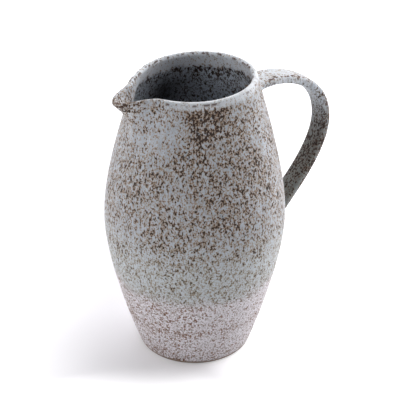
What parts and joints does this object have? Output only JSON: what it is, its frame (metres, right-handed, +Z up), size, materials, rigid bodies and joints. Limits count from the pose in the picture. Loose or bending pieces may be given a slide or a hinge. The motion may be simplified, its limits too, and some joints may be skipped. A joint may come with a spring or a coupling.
{
  "type": "ceramic jug",
  "caption": "Tall stoneware jug with a swelling thrown body, pulled pouring spout and strap handle, in speckled blue-grey glaze that is thinner and paler toward the foot.",
  "frame": {"origin": "centre of the flat base, on the surface the jug stands on", "axes": "+Z up along the jug's axis, +X toward the handle, -X toward the spout, +Y to the right of someone who stands at the handle and looks toward the spout"},
  "size_m": [0.1945, 0.1406, 0.2294],
  "materials": {
    "stoneware": "bare fired stoneware, matte",
    "slip": "fired luting slip under glaze, satin",
    "speckled_glaze": "glossy blue-grey glaze with dark brown specks",
    "thin_glaze": "satin pale grey glaze with fine brown specks",
    "liner": "glossy grey glaze with dark specks"
  },
  "bodies": {
    "root": {"thrown_body": "stoneware", "strap_handle": "stoneware", "upper_slip_joint": "slip", "lower_slip_joint": "slip", "upper_glaze": "speckled_glaze", "handle_glaze": "speckled_glaze", "lower_glaze": "thin_glaze", "liner_glaze": "liner"}
  },
  "joints": []
}
